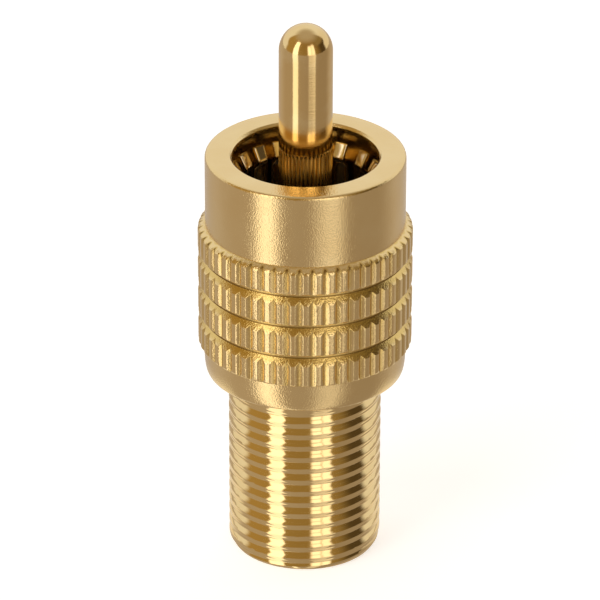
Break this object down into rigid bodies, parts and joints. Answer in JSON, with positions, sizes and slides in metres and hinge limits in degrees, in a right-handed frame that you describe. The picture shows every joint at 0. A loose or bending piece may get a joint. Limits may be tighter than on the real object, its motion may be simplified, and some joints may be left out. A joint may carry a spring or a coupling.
{
  "type": "rca adapter",
  "caption": "Straight coaxial adapter: a phono plug with a domed pin and slotted contact crown, a knurled shell, and a threaded female port at the other end.",
  "frame": {"origin": "middle of the flat face of the threaded end, which the adapter stands on", "axes": "+Z along the adapter's axis, from the threaded end towards the tip of the pin"},
  "size_m": [0.0132, 0.0132, 0.035],
  "materials": {
    "shell_gold": "satin gold plate with a fine grain",
    "barrel_gold": "bright gold plate",
    "crown_gold": "bright gold plate on spring metal",
    "pin_gold": "gold plate over fine turning lines",
    "socket_gold": "gold plate",
    "front_bush_plastic": "black moulded plastic",
    "rear_bush_plastic": "ivory moulded plastic"
  },
  "bodies": {
    "root": {"grip_shell": "shell_gold", "threaded_barrel": "barrel_gold", "contact_crown": "crown_gold", "center_pin": "pin_gold", "socket_contact": "socket_gold", "pin_insulator": "front_bush_plastic", "rear_insulator": "rear_bush_plastic"}
  },
  "joints": []
}
